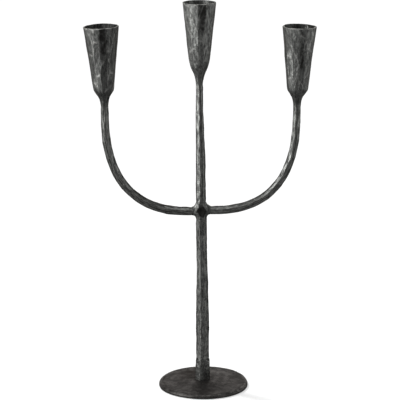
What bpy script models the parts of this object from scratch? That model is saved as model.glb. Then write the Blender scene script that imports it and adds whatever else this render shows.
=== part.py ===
"""Three-light candelabrum of hammered, blackened iron, as an assembly of separate solids.

Metres, +Z up. The origin is on the table, under the middle of the round base. The arms run along X and the
front faces -Y. Each threaded joint is drawn plain: a stud or screw in a hole that is CLEARANCE wider.
"""

import math

import bmesh
import bpy
from mathutils import Vector

MM = 0.001

# Overall sizes.
TOTAL_HEIGHT = 480.0 * MM
BASE_RADIUS = 55.2 * MM
CROSS_HEIGHT = 224.3 * MM
SIDE_RIM_HEIGHT = 451.2 * MM
SIDES = {"left": -1, "right": 1}
ARM_REACH = {"left": 116.5 * MM, "right": 115.3 * MM}  # from the cross's middle to an arm's upright end
ARM_LEVEL = {"left": -0.6 * MM, "right": 0.7 * MM}  # of an arm's shoulder, over the middle of the cross
GAP = 0.3 * MM  # left between faces that rest on each other
CLEARANCE = 0.4 * MM  # radial, round a stud or a screw

# Base: a dished plate on a felt disc.
FELT_RADIUS = 52.0 * MM
FELT_THICK = 0.8 * MM
RIM_THICK = 4.4 * MM
RIM_ROUND = 1.8 * MM
DISH_RADIUS = 49.0 * MM
DISH_RISE = 3.4 * MM  # of the top in the middle over the top at the rim
HOLLOW_RISE = 4.4 * MM  # the same on the underside: the plate is thinner in the middle
SEAT_RADIUS = 10.5 * MM  # flat spot that the foot collar stands on
DISH_RINGS = 5

# Stem: drawn down by hand with its left face straight, so that all of the taper comes off the right.
STEM_LEFT_FACE = -8.75 * MM
STEM_LEAN = 0.0014  # to the left, as a share of height
TENON_WIDTH = 12.2 * MM
COLLAR_BORE = 6.9 * MM
COLLAR_TOP = 36.0 * MM
COLLAR_TOP_RADIUS = 8.3 * MM
COLLAR_FOOT_RADIUS = 9.0 * MM
COLLAR_LIP = 0.5 * MM

# Width of the stem from flat to flat at each height, in millimetres.
LOWER_STEM = (
    (36.3, 15.8),
    (58.0, 15.9),
    (84.0, 15.6),
    (110.0, 14.9),
    (135.0, 14.1),
    (161.0, 13.0),
    (187.0, 13.2),
)
LOWER_STEM_TOP_WIDTH = 13.2 * MM
UPPER_STEM_FOOT_WIDTH = 12.0 * MM
UPPER_STEM = ((250.0, 11.8), (300.0, 11.0), (325.0, 9.7), (350.0, 8.9), (366.0, 8.5))
NECK_WIDTH = 8.4 * MM
NECK_HEIGHT = 382.0 * MM

# Cross: a forged boss with a fillet in each corner.
BOSS_HALF_LENGTH = 11.4 * MM
BOSS_HALF_HEIGHT = 10.4 * MM
BOSS_THICK = 12.4 * MM
BOSS_CHAMFER = 2.6 * MM
BOSS_FILLET = 4.6 * MM

# Arms: a bar bent to a superellipse, then upright for the last stretch.
ARM_WIDTH = 9.6 * MM
ARM_TIP_WIDTH = 8.9 * MM
ARM_TAPER_START = 0.78  # as a share of the arm's length
ARM_CURVE_POWER = 2.52
ARM_CURVE_TOP = 347.2 * MM
ARM_TIP_HEIGHT = 354.0 * MM
ARM_SEGMENTS = 26
ARM_TENON_WIDTH = 4.8 * MM
ARM_TENON_LENGTH = 5.8 * MM
ARM_SOCKET_RADIUS = 3.0 * MM

# Cups: outer radius at each height over the neck joint, in millimetres, up to the shoulder. A straight flare
# runs on from there to the rim.
SIDE_CUP = ((0.3, 4.5), (4.0, 4.8), (8.5, 5.6), (12.8, 7.1), (16.5, 9.9), (19.2, 11.8), (23.0, 12.6))
CENTRE_CUP = ((0.3, 4.2), (4.5, 4.8), (9.5, 5.9), (14.0, 7.5), (19.0, 9.9), (24.5, 11.7), (30.0, 12.9))
CUP_WALL = 1.8 * MM
CUP_FLOOR_DROP = 2.5 * MM  # from the shoulder down to the floor inside
LEFT_RIM_RADIUS = 21.1 * MM
RIGHT_RIM_RADIUS = 20.0 * MM
CENTRE_RIM_RADIUS = 20.0 * MM
LEFT_CUP_LEAN = 2.0  # degrees outwards
RIGHT_CUP_LEAN = 1.2

# Fasteners.
M6_RADIUS = 3.0 * MM
M4_RADIUS = 2.0 * MM
THREAD_CHAMFER = 0.5 * MM
SCREW_LENGTH = 20.0 * MM
SCREW_HEAD_RADIUS = 6.0 * MM
SCREW_HEAD_HEIGHT = 2.8 * MM
SCREW_HEAD_ROUND = 1.3 * MM
SLOT_WIDTH = 1.4 * MM
SLOT_DEPTH = 1.2 * MM
WASHER_RADIUS = 7.5 * MM
WASHER_THICK = 1.0 * MM
CROSS_STUD_LENGTH = 46.0 * MM
CUP_STUD_LENGTH = 14.0 * MM

# Meshing.
BAR_SIDES = 8
CORNER_PER_FLAT = 1 / math.cos(math.pi / BAR_SIDES)
BAR_TILT = math.pi / BAR_SIDES  # turns a flat of the bar to the front
BAR_STEP = 0.05 * MM  # length in which a bar changes width at a tenon's shoulder
TURN_STEPS = 24
PLATE_STEPS = 48
HOLE_SIDES = 16
MERGE = 0.00001

# Name, colour, roughness, metallic.
IRON = ("blackened_iron", (0.045, 0.045, 0.043, 1.0), 0.5, 0.85)
STEEL = ("zinc_steel", (0.55, 0.56, 0.57, 1.0), 0.35, 1.0)
FELT = ("black_felt", (0.02, 0.02, 0.02, 1.0), 0.95, 0.0)


def clear_scene():
    for obj in list(bpy.data.objects):
        bpy.data.objects.remove(obj, do_unlink=True)


def new_collection(name):
    collection = bpy.data.collections.new(name)
    bpy.context.scene.collection.children.link(collection)
    return collection


clear_scene()
parts = new_collection("candelabrum")
cutters = new_collection("cutters")


def material(recipe):
    """The material of this recipe, made on its first use."""
    name, colour, roughness, metallic = recipe
    made = bpy.data.materials.get(name)
    if made is None:
        made = bpy.data.materials.new(name)
        made.use_nodes = True
        shader = made.node_tree.nodes["Principled BSDF"]
        shader.inputs["Base Color"].default_value = colour
        shader.inputs["Roughness"].default_value = roughness
        shader.inputs["Metallic"].default_value = metallic
    return made


def add_part(name, mesh, recipe):
    obj = bpy.data.objects.new(name, mesh)
    mesh.materials.append(material(recipe))
    parts.objects.link(obj)
    return obj


def add_cutter(name, mesh, location):
    obj = bpy.data.objects.new(name, mesh)
    obj.location = location
    obj.hide_render = True
    obj.display_type = "WIRE"
    cutters.objects.link(obj)
    return obj


def cut(obj, cutter):
    modifier = obj.modifiers.new(cutter.name, "BOOLEAN")
    modifier.operation = "DIFFERENCE"
    modifier.solver = "EXACT"
    modifier.object = cutter


def turned(name, profile, recipe, steps):
    """A solid turned about Z. Its (radius, height) points run down the outer side from the axis or a bore."""
    mesh = bpy.data.meshes.new(name)
    points = [(radius, 0.0, height) for radius, height in profile]
    edges = [(i, i + 1) for i in range(len(points) - 1)]
    has_bore = profile[0][0] > 0.0
    if has_bore:
        edges.append((len(points) - 1, 0))
    mesh.from_pydata(points, edges, [])
    obj = add_part(name, mesh, recipe)
    screw = obj.modifiers.new("turn", "SCREW")
    screw.steps = steps
    screw.render_steps = steps
    screw.use_merge_vertices = True
    screw.merge_threshold = MERGE
    screw.use_smooth_shade = True
    return obj


def rod_mesh(name, radius, length, sides):
    """An upright cylinder with its foot at its origin."""
    mesh = bpy.data.meshes.new(name)
    shape = bmesh.new()
    bmesh.ops.create_cone(
        shape, cap_ends=True, segments=sides, radius1=radius, radius2=radius, depth=length
    )
    bmesh.ops.translate(shape, verts=shape.verts, vec=(0.0, 0.0, length / 2))
    shape.to_mesh(mesh)
    shape.free()
    return mesh


def hole(name, radius, length, location):
    """Cutter for an upright round hole, with its foot at location."""
    return add_cutter(name, rod_mesh(name, radius, length, HOLE_SIDES), location)


def curve_to_part(name, curve, recipe, location=(0.0, 0.0, 0.0), turn_x=0.0):
    """Swaps a curve for a part with the curve's mesh, its caps welded on."""
    guide = bpy.data.objects.new(name + "_guide", curve)
    guide.location = location
    guide.rotation_euler.x = turn_x
    parts.objects.link(guide)
    bpy.context.view_layer.update()
    graph = bpy.context.evaluated_depsgraph_get()
    mesh = bpy.data.meshes.new_from_object(guide.evaluated_get(graph))
    place = guide.matrix_world.copy()
    bpy.data.objects.remove(guide)
    shape = bmesh.new()
    shape.from_mesh(mesh)
    bmesh.ops.remove_doubles(shape, verts=shape.verts, dist=MERGE)
    bmesh.ops.recalc_face_normals(shape, faces=shape.faces)
    shape.to_mesh(mesh)
    shape.free()
    mesh.materials.clear()
    obj = add_part(name, mesh, recipe)
    obj.matrix_world = place
    return obj


def bar(name, path, widths, recipe):
    """An eight-sided bar along path, as wide from flat to flat as widths says at each point."""
    curve = bpy.data.curves.new(name, "CURVE")
    curve.dimensions = "3D"
    curve.use_fill_caps = True
    curve.bevel_depth = 1.0
    curve.bevel_resolution = (BAR_SIDES - 4) // 2
    spline = curve.splines.new("POLY")
    spline.points.add(len(path) - 1)
    for point, place, width in zip(spline.points, path, widths):
        point.co = (*place, 1.0)
        point.radius = width / 2 * CORNER_PER_FLAT
        point.tilt = BAR_TILT
    return curve_to_part(name, curve, recipe)


def arc(centre, radius, start, end, steps):
    """Points along a circular arc, its angles in degrees."""
    points = []
    for i in range(steps + 1):
        angle = math.radians(start + (end - start) * i / steps)
        points.append((centre[0] + radius * math.cos(angle), centre[1] + radius * math.sin(angle)))
    return points


def stem_centre(width, height):
    """X of the stem's axis at this height, where it is this wide."""
    return STEM_LEFT_FACE - STEM_LEAN * height + width / 2


RIM_FOOT = FELT_THICK + GAP
RIM_TOP = RIM_FOOT + RIM_THICK
SEAT_HEIGHT = RIM_TOP + DISH_RISE
FOOT_X = stem_centre(LOWER_STEM[0][1] * MM, COLLAR_TOP)
CROSS_X = stem_centre((LOWER_STEM_TOP_WIDTH + UPPER_STEM_FOOT_WIDTH) / 2, CROSS_HEIGHT)
NECK_X = stem_centre(NECK_WIDTH, NECK_HEIGHT)
CROSS_STUD_FOOT = CROSS_HEIGHT - CROSS_STUD_LENGTH / 2
WASHER_TOP = RIM_FOOT + HOLLOW_RISE - GAP
SCREW_SEAT = WASHER_TOP - WASHER_THICK - GAP


def dish(radius):
    """The shape of the base's hump: 1 on the seat in the middle, down to 0 at the rim."""
    share = (radius - SEAT_RADIUS) / (DISH_RADIUS - SEAT_RADIUS)
    return (1 + math.cos(math.pi * share)) / 2


def base_plate():
    """Round plate, dished up in the middle, with a thicker, rounded rim and the screw's hole."""
    rings = [SEAT_RADIUS + (DISH_RADIUS - SEAT_RADIUS) * i / DISH_RINGS for i in range(DISH_RINGS + 1)]
    edge = BASE_RADIUS - RIM_ROUND
    profile = [(0.0, SEAT_HEIGHT)]
    profile += [(radius, RIM_TOP + DISH_RISE * dish(radius)) for radius in rings]
    profile += arc((edge, RIM_TOP - RIM_ROUND), RIM_ROUND, 90, 0, 3)
    profile += arc((edge, RIM_FOOT + RIM_ROUND), RIM_ROUND, 0, -90, 3)
    profile += [(radius, RIM_FOOT + HOLLOW_RISE * dish(radius)) for radius in reversed(rings)]
    profile += [(0.0, RIM_FOOT + HOLLOW_RISE)]
    plate = turned("base_plate", profile, IRON, PLATE_STEPS)
    cut(plate, hole("plate_hole", M6_RADIUS + CLEARANCE, 2 * SEAT_HEIGHT, (FOOT_X, 0.0, 0.0)))


def base_felt():
    add_part("base_felt", rod_mesh("base_felt", FELT_RADIUS, FELT_THICK, PLATE_STEPS), FELT)


def base_screw():
    """Slotted pan-head screw, driven up through the plate into the stem."""
    tip = SCREW_SEAT + SCREW_LENGTH
    head_foot = SCREW_SEAT - SCREW_HEAD_HEIGHT
    round_centre = (SCREW_HEAD_RADIUS - SCREW_HEAD_ROUND, head_foot + SCREW_HEAD_ROUND)
    profile = [(0.0, tip), (M6_RADIUS - THREAD_CHAMFER, tip), (M6_RADIUS, tip - THREAD_CHAMFER)]
    profile += [(M6_RADIUS, SCREW_SEAT), (SCREW_HEAD_RADIUS, SCREW_SEAT)]
    profile += arc(round_centre, SCREW_HEAD_ROUND, 0, -90, 3)
    profile += [(0.0, head_foot)]
    screw = turned("base_screw", profile, STEEL, TURN_STEPS)
    screw.location.x = FOOT_X
    mesh = bpy.data.meshes.new("screw_slot")
    shape = bmesh.new()
    bmesh.ops.create_cube(shape, size=1.0)
    bmesh.ops.scale(shape, verts=shape.verts, vec=(3 * SCREW_HEAD_RADIUS, SLOT_WIDTH, 2 * SLOT_DEPTH))
    shape.to_mesh(mesh)
    shape.free()
    cut(screw, add_cutter("screw_slot", mesh, (FOOT_X, 0.0, head_foot)))


def base_washer():
    bore = M6_RADIUS + CLEARANCE
    foot = WASHER_TOP - WASHER_THICK
    profile = [(bore, WASHER_TOP), (WASHER_RADIUS, WASHER_TOP), (WASHER_RADIUS, foot), (bore, foot)]
    washer = turned("base_washer", profile, STEEL, TURN_STEPS)
    washer.location.x = FOOT_X


def foot_collar():
    """Socket that the stem's foot stands in."""
    foot = SEAT_HEIGHT + GAP
    waist = foot + 0.4 * (COLLAR_TOP - foot)
    profile = [
        (COLLAR_BORE, COLLAR_TOP),
        (COLLAR_TOP_RADIUS - COLLAR_LIP, COLLAR_TOP),
        (COLLAR_TOP_RADIUS, COLLAR_TOP - COLLAR_LIP),
        (COLLAR_FOOT_RADIUS, waist),
        (COLLAR_FOOT_RADIUS, foot),
        (COLLAR_BORE, foot),
    ]
    collar = turned("foot_collar", profile, IRON, TURN_STEPS)
    collar.location.x = FOOT_X


def stem_lower():
    """Tapered bar from the base to the cross, with a tenon for the collar and a hole at each end."""
    foot = SEAT_HEIGHT + GAP
    shoulder, shoulder_width = LOWER_STEM[0]
    top = CROSS_HEIGHT - BOSS_HALF_HEIGHT - GAP
    path = [Vector((FOOT_X, 0.0, foot)), Vector((FOOT_X, 0.0, shoulder * MM - BAR_STEP))]
    widths = [TENON_WIDTH, TENON_WIDTH]
    for height, width in LOWER_STEM:
        path.append(Vector((stem_centre(width * MM, height * MM), 0.0, height * MM)))
        widths.append(width * MM)
    path.append(Vector((stem_centre(LOWER_STEM_TOP_WIDTH, top), 0.0, top)))
    widths.append(LOWER_STEM_TOP_WIDTH)
    stem = bar("stem_lower", path, widths, IRON)
    screw_end = SCREW_SEAT + SCREW_LENGTH + GAP
    radius = M6_RADIUS + CLEARANCE
    cut(stem, hole("stem_foot_hole", radius, screw_end, (FOOT_X, 0.0, 0.0)))
    cut(stem, hole("stem_top_hole", radius, CROSS_STUD_LENGTH, (CROSS_X, 0.0, CROSS_STUD_FOOT - GAP)))


def stem_upper():
    """Tapered bar from the cross to the middle cup, with a hole at each end."""
    foot = CROSS_HEIGHT + BOSS_HALF_HEIGHT + GAP
    stations = [(foot, UPPER_STEM_FOOT_WIDTH)]
    stations += [(height * MM, width * MM) for height, width in UPPER_STEM]
    stations += [(NECK_HEIGHT, NECK_WIDTH)]
    path = [Vector((stem_centre(width, height), 0.0, height)) for height, width in stations]
    stem = bar("stem_upper", path, [width for _, width in stations], IRON)
    stud_place = (CROSS_X, 0.0, CROSS_STUD_FOOT + GAP)
    cut(stem, hole("neck_foot_hole", M6_RADIUS + CLEARANCE, CROSS_STUD_LENGTH, stud_place))
    cut(stem, cup_stud_hole("centre", NECK_X, NECK_HEIGHT))


def stud(name, radius, length, x, foot):
    """Headless threaded rod with chamfered ends."""
    profile = [
        (0.0, length),
        (radius - THREAD_CHAMFER, length),
        (radius, length - THREAD_CHAMFER),
        (radius, THREAD_CHAMFER),
        (radius - THREAD_CHAMFER, 0.0),
        (0.0, 0.0),
    ]
    rod = turned(name, profile, STEEL, HOLE_SIDES)
    rod.location = (x, 0.0, foot)


def half_cross(level):
    """Right half of the cross's outline, about its middle, with the arm's stub at this level."""
    up = UPPER_STEM_FOOT_WIDTH / 2
    down = LOWER_STEM_TOP_WIDTH / 2
    arm_top = level + ARM_WIDTH / 2
    arm_foot = level - ARM_WIDTH / 2
    half = [(up, BOSS_HALF_HEIGHT)]
    half += arc((up + BOSS_FILLET, arm_top + BOSS_FILLET), BOSS_FILLET, 180, 270, 5)
    half += [(BOSS_HALF_LENGTH, arm_top), (BOSS_HALF_LENGTH, arm_foot)]
    half += arc((down + BOSS_FILLET, arm_foot - BOSS_FILLET), BOSS_FILLET, 90, 180, 5)
    return half + [(down, -BOSS_HALF_HEIGHT)]


def cross_boss():
    """Cross-shaped forging, chamfered all round, bored for the stem's stud and the arms' tenons."""
    outline = half_cross(ARM_LEVEL["right"])
    outline += [(-x, y) for x, y in reversed(half_cross(ARM_LEVEL["left"]))]
    curve = bpy.data.curves.new("cross_boss", "CURVE")
    curve.dimensions = "2D"
    curve.fill_mode = "BOTH"
    curve.extrude = BOSS_THICK / 2 - BOSS_CHAMFER
    curve.bevel_depth = BOSS_CHAMFER
    curve.bevel_resolution = 0
    curve.offset = -BOSS_CHAMFER
    spline = curve.splines.new("POLY")
    spline.points.add(len(outline) - 1)
    for point, (x, y) in zip(spline.points, outline):
        point.co = (x, y, 0.0, 1.0)
    spline.use_cyclic_u = True
    boss = curve_to_part("cross_boss", curve, IRON, (CROSS_X, 0.0, CROSS_HEIGHT), math.pi / 2)
    through = (CROSS_X, 0.0, CROSS_HEIGHT - 2 * BOSS_HALF_HEIGHT)
    cut(boss, hole("boss_hole", M6_RADIUS + CLEARANCE, 4 * BOSS_HALF_HEIGHT, through))
    for name, side in SIDES.items():
        bottom = (
            CROSS_X + side * (BOSS_HALF_LENGTH - ARM_TENON_LENGTH - GAP),
            0.0,
            CROSS_HEIGHT + ARM_LEVEL[name],
        )
        socket = hole("socket_" + name, ARM_SOCKET_RADIUS, 2 * BOSS_HALF_LENGTH, bottom)
        socket.rotation_euler.y = side * math.pi / 2
        cut(boss, socket)


def arm_point(name, angle):
    """Point on an arm's centre line: 0 is its shoulder at the cross, a right angle the top of its curve."""
    shoulder = BOSS_HALF_LENGTH + GAP
    reach = ARM_REACH[name] - shoulder
    rise = ARM_CURVE_TOP - CROSS_HEIGHT - ARM_LEVEL[name]
    power = 2 / ARM_CURVE_POWER
    x = CROSS_X + SIDES[name] * (shoulder + reach * math.sin(angle) ** power)
    z = ARM_CURVE_TOP - rise * max(0.0, math.cos(angle)) ** power
    return Vector((x, 0.0, z))


def arm_path(name):
    """The arm's centre line, in steps of even length."""
    fine_steps = 400
    fine = [arm_point(name, math.pi / 2 * i / fine_steps) for i in range(fine_steps + 1)]
    travelled = [0.0]
    for start, end in zip(fine, fine[1:]):
        travelled.append(travelled[-1] + (end - start).length)
    path = []
    for i in range(ARM_SEGMENTS):
        wanted = travelled[-1] * i / ARM_SEGMENTS
        after = next(j for j, length in enumerate(travelled) if length > wanted)
        share = (wanted - travelled[after - 1]) / (travelled[after] - travelled[after - 1])
        path.append(fine[after - 1].lerp(fine[after], share))
    return path + [fine[-1], Vector((fine[-1].x, 0.0, ARM_TIP_HEIGHT))]


def arm(name):
    """Curved bar with a tenon for the cross and a hole for the cup's stud at its tip."""
    path = arm_path(name)
    widths = []
    for i in range(len(path)):
        taper = max(0.0, (i / (len(path) - 1) - ARM_TAPER_START) / (1 - ARM_TAPER_START))
        widths.append(ARM_WIDTH + (ARM_TIP_WIDTH - ARM_WIDTH) * taper)
    step = Vector((SIDES[name] * BAR_STEP, 0.0, 0.0))
    tenon = Vector((SIDES[name] * ARM_TENON_LENGTH, 0.0, 0.0))
    path = [path[0] - tenon, path[0] - step] + path
    widths = [ARM_TENON_WIDTH, ARM_TENON_WIDTH] + widths
    cut(bar("arm_" + name, path, widths, IRON), cup_stud_hole(name, path[-1].x, ARM_TIP_HEIGHT))


def cup_stud_hole(name, x, joint):
    """Cutter for the hole under a cup, half a stud deep."""
    depth = CUP_STUD_LENGTH / 2 + GAP
    return hole("hole_" + name, M4_RADIUS + CLEARANCE, 2 * depth, (x, 0.0, joint - depth))


def cup(name, x, joint, height, lower_shape, rim_radius, lean):
    """Hollow flared cup for a candle. It stands on its neck joint and leans about it, in degrees."""
    outer = [(radius * MM, level * MM) for level, radius in lower_shape]
    shoulder_radius, shoulder = outer[-1]
    floor = shoulder - CUP_FLOOR_DROP
    lip = CUP_WALL / 3
    profile = [
        (0.0, floor),
        (shoulder_radius - CUP_WALL - CUP_FLOOR_DROP, floor),
        (shoulder_radius - CUP_WALL, shoulder - lip),
        (rim_radius - CUP_WALL, height - lip),
        (rim_radius - CUP_WALL + lip, height),
        (rim_radius - lip, height),
        (rim_radius, height - lip),
    ]
    profile += reversed(outer)
    bore = M4_RADIUS + CLEARANCE
    bore_top = CUP_STUD_LENGTH / 2 + GAP
    profile += [(bore, GAP), (bore, bore_top), (0.0, bore_top)]
    obj = turned("cup_" + name, profile, IRON, TURN_STEPS)
    obj.location = (x, 0.0, joint)
    obj.rotation_euler.y = math.radians(lean)
    stud("cup_stud_" + name, M4_RADIUS, CUP_STUD_LENGTH, x, joint - CUP_STUD_LENGTH / 2)


def main():
    base_felt()
    base_plate()
    base_washer()
    base_screw()
    foot_collar()
    stem_lower()
    cross_boss()
    stud("cross_stud", M6_RADIUS, CROSS_STUD_LENGTH, CROSS_X, CROSS_STUD_FOOT)
    stem_upper()
    arm("left")
    arm("right")
    side_height = SIDE_RIM_HEIGHT - ARM_TIP_HEIGHT
    left_tip = CROSS_X - ARM_REACH["left"]
    right_tip = CROSS_X + ARM_REACH["right"]
    cup("left", left_tip, ARM_TIP_HEIGHT, side_height, SIDE_CUP, LEFT_RIM_RADIUS, -LEFT_CUP_LEAN)
    cup("right", right_tip, ARM_TIP_HEIGHT, side_height, SIDE_CUP, RIGHT_RIM_RADIUS, RIGHT_CUP_LEAN)
    cup("centre", NECK_X, NECK_HEIGHT, TOTAL_HEIGHT - NECK_HEIGHT, CENTRE_CUP, CENTRE_RIM_RADIUS, 0.0)


main()
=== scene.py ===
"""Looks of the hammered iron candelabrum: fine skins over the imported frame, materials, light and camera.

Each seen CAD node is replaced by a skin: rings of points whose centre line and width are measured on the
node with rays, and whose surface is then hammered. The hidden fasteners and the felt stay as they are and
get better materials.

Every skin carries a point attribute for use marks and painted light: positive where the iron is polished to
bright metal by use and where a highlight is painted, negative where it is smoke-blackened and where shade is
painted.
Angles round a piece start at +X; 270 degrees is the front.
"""

import itertools
import math
from dataclasses import dataclass
from typing import NamedTuple

import bpy
import numpy as np
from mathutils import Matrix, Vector
from mathutils.bvhtree import BVHTree


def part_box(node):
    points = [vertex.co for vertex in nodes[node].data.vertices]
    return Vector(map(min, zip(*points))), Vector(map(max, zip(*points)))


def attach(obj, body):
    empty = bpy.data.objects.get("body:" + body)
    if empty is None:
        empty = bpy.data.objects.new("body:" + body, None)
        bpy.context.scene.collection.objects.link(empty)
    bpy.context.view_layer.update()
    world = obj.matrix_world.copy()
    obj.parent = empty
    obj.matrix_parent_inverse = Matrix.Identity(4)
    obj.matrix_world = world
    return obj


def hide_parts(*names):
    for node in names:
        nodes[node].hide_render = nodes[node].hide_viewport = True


MM = 0.001
TAU = 2 * math.pi

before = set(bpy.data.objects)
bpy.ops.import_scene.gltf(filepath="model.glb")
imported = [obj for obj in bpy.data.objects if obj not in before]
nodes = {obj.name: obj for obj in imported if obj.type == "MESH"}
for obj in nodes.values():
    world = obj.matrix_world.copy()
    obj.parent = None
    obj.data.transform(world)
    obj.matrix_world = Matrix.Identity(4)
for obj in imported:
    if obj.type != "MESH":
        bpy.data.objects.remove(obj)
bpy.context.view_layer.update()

# Joints between pieces.
HAIRLINE = 0.14 * MM  # how far a skin reaches into the gap between two nodes, from each side
CLEARANCE = 0.4 * MM  # radial, round a stud or a screw
SHANK_RADIUS = 3.0 * MM  # of the base's screw
SCREW_HOLE_DEPTH = 17.0 * MM
CROSS_HOLE_DEPTH = 12.8 * MM
CUP_HOLE_DEPTH = 7.3 * MM
TENON_HALF_WIDTH = 2.6 * MM
TENON_LENGTH = 5.6 * MM
SOCKET_RADIUS = 3.0 * MM
SOCKET_DEPTH = 6.2 * MM

# Measuring and meshing.
OFF_SEAM = 0.21 * MM  # rays pass this far beside the middle plane, where the CAD meshes have seams
END_MARGIN = 0.3 * MM  # rays stay this far inside a bar's ends
CALM_LENGTH = 6.0 * MM  # over which hammering fades out towards a joint
BAR_COLUMNS = 112
BAR_ROW = 0.55 * MM
CUP_COLUMNS = 264
CUP_ROW = 0.55 * MM
COLLAR_COLUMNS = 160
COLLAR_ROWS = 60
SECTION_ROWS = 70  # of the plain section that the collar's sides are taken from
PLATE_COLUMNS = 300
CROSS_CELL = 0.3 * MM
SHARP_FROM = math.radians(55)  # edges bent more than this are shaded sharp

# Forging.
BAR_FLATS = 8
BLOW_CURVATURE = 2.2  # of a hammer blow along a bar: height over distance squared, per metre
LEAST_FACING = 0.2  # keeps a flat's distance finite where it is seen edge on
SIDE_SHADE = 0.95  # painted shade on the sides of the bars, darkening their edges as seen from the front
CUP_FACETS = 12
CUP_BLOW = 31 * MM  # length of a blow along a cup
RIM_BAND = 2.6 * MM  # the points this near a cup's highest one are its rim's
FLOOR_ROUNDING = 2.4 * MM  # of the corner inside a cup, at its floor
PLATE_MIDDLE = 9 * MM  # radius within which the plate follows the screw, a little off its centre
BEVEL_WIDTH = 4.2 * MM  # of the base plate, round its upper edge
BEVEL = [(3.2, -0.18), (2.3, -0.45), (1.5, -0.85), (0.85, -1.4), (0.4, -2.0), (0.1, -2.7), (0.0, -3.2)]
HEEL = [(0.0, 0.4), (0.05, 0.0), (0.3, -0.4), (0.8, -0.65)]  # both lists: mm in from the edge, mm up
BOW_REACH = 22 * MM  # up and down from the middle of the bend in the lower stem
COLLAR_RADII = (9.3 * MM, 9.1 * MM, 8.5 * MM, 8.2 * MM)  # at its foot, 16 mm up, at its top and above it
COLLAR_BORE = 6.9 * MM
COLLAR_MOUTH = 8.1 * MM

# Colours and light.
# Near-black colour for smoke-blackening and for painted shade, both where the attribute is negative.
SOOT_AND_SHADE = (0.012, 0.011, 0.010, 1)
DARK_IRON = (0.058, 0.059, 0.057, 1)
PALE_IRON = (0.175, 0.179, 0.172, 1)
# Colour of polished metal, used also for painted highlights.
BARE_AND_LIT_IRON = (0.46, 0.46, 0.44, 1)
BASE_DARK = (0.031, 0.0288, 0.0272, 1)
BASE_PALE = (0.066, 0.0628, 0.0602, 1)
# The base's polished-metal colour, used also for its painted highlights.
BASE_BARE_AND_LIT = (0.28, 0.27, 0.26, 1)
BASE_TINT = (1.0, 0.955, 0.925, 1)
IRON_TINT = (1.0, 0.985, 0.93, 1)
# Dull sheen of smoke-blackened iron and of painted shade.
SOOT_AND_SHADE_SHEEN = (0.35, 0.32, 0.30, 1)
DARK_ZINC = (0.46, 0.47, 0.49, 1)
PALE_ZINC = (0.62, 0.62, 0.60, 1)
DARK_FELT = (0.012, 0.012, 0.013, 1)
PALE_FELT = (0.065, 0.063, 0.062, 1)
FLOOR_GLOW = 0.58  # added to what the camera sees of the floor, so that it stays white far away
FLOOR_TO_CAMERA = (0.30, 0.30, 0.30, 1)
FLOOR_TO_OBJECT = (0.13, 0.13, 0.13, 1)
FLOOR_SUN = 3.95  # watts per square metre
AMBIENT = 0.15
CAMERA_AT = (-0.0043, -2.377, 0.826)
CAMERA_DIP = math.radians(13.9)
CAMERA_LENS = 180.7


# ---- measuring the frame


def surface_tree(mesh):
    """A mesh's faces, ready to be met by rays."""
    return BVHTree.FromPolygons([v.co for v in mesh.vertices], [tuple(p.vertices) for p in mesh.polygons])


surfaces = {name: surface_tree(obj.data) for name, obj in nodes.items()}


def cast(node, start, direction):
    """Where a ray first meets a CAD node."""
    place = surfaces[node].ray_cast(Vector(start), Vector(direction).normalized())[0]
    if place is None:
        raise ValueError(f"no surface of {node} from {tuple(start)} along {tuple(direction)}")
    return np.array(place)


def centre_x(node):
    """Middle of a CAD node from left to right."""
    low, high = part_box(node)
    return (low.x + high.x) / 2


def half_across(node):
    """Half of a CAD node's size from front to back."""
    low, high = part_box(node)
    return (high.y - low.y) / 2


def across(node, heights):
    """Middle and half width, along X, of an upright bar at each height."""
    far = 0.1
    left = np.array([cast(node, (-far, OFF_SEAM, z), (1, 0, 0))[0] for z in heights])
    right = np.array([cast(node, (far, OFF_SEAM, z), (-1, 0, 0))[0] for z in heights])
    return (left + right) / 2, (right - left) / 2


def smoothstep(low, high, value):
    """0 at low, 1 at high, and an even curve between. low may be the greater."""
    share = np.clip((value - low) / (high - low), 0.0, 1.0)
    return share * share * (3 - 2 * share)


def smoothed(values, reach):
    """Values averaged along the first axis over a bell, reach rows wide. Both ends are kept."""
    offsets = np.arange(-3 * reach, 3 * reach + 1)
    weights = np.exp(-0.5 * (offsets / reach) ** 2)
    half = len(offsets) // 2
    before = 2 * values[0] - values[half:0:-1]
    after = 2 * values[-1] - values[-2 : -half - 2 : -1]
    padded = np.concatenate([before, values, after])
    shares = weights / weights.sum()
    return sum(share * padded[i : i + len(values)] for i, share in enumerate(shares))


def bell(value, width):
    """1 at 0, falling to 0.37 at width on both sides, and to nothing beyond."""
    return np.exp(-((value / width) ** 2))


def unit(vectors):
    """Rows of vectors, each brought to length 1."""
    return vectors / np.linalg.norm(vectors, axis=1)[:, None]


def wrapped(angle):
    """Angles brought to within half a turn of 0."""
    return (angle + math.pi) % TAU - math.pi


# ---- noise and hammer marks


def noise(points, size, seed):
    """Smooth noise from -1 to 1, its lumps about size across."""
    table = np.random.default_rng(seed).uniform(-1.0, 1.0, (32, 32, 32))
    scaled = np.asarray(points) / size
    cell = np.floor(scaled).astype(int)
    part = scaled - cell
    part = part * part * (3 - 2 * part)
    total = np.zeros(scaled.shape[:-1])
    for corner in itertools.product((0, 1), repeat=3):
        weight = np.prod(np.where(corner, part, 1 - part), axis=-1)
        index = (cell + corner) % 32
        total += weight * table[index[..., 0], index[..., 1], index[..., 2]]
    return total


def soft_min(values, softness):
    """Least value on the last axis, rounded where two come close, and how near the next is: 1 on a ridge."""
    ordered = np.sort(values, axis=-1)
    least = ordered[..., 0]
    ridge = np.exp(-(ordered[..., 1] - least) / (2.0 * softness))
    total = np.exp(-(values - least[..., None]) / softness).sum(axis=-1)
    return least - softness * np.log(total), ridge


@dataclass
class Blows:
    """How a bar's flats were hammered: each is a row of shallow hollows, one for each blow."""

    depth: float = 0.22 * MM  # most that one blow lies above or below the others
    spacing: float = 17 * MM
    softness: float = 0.12 * MM  # rounding of the ridges between flats
    turned: float = 0.0  # of the whole bar about its length
    sway: float = 7.0  # degrees that a flat may turn from blow to blow


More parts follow.
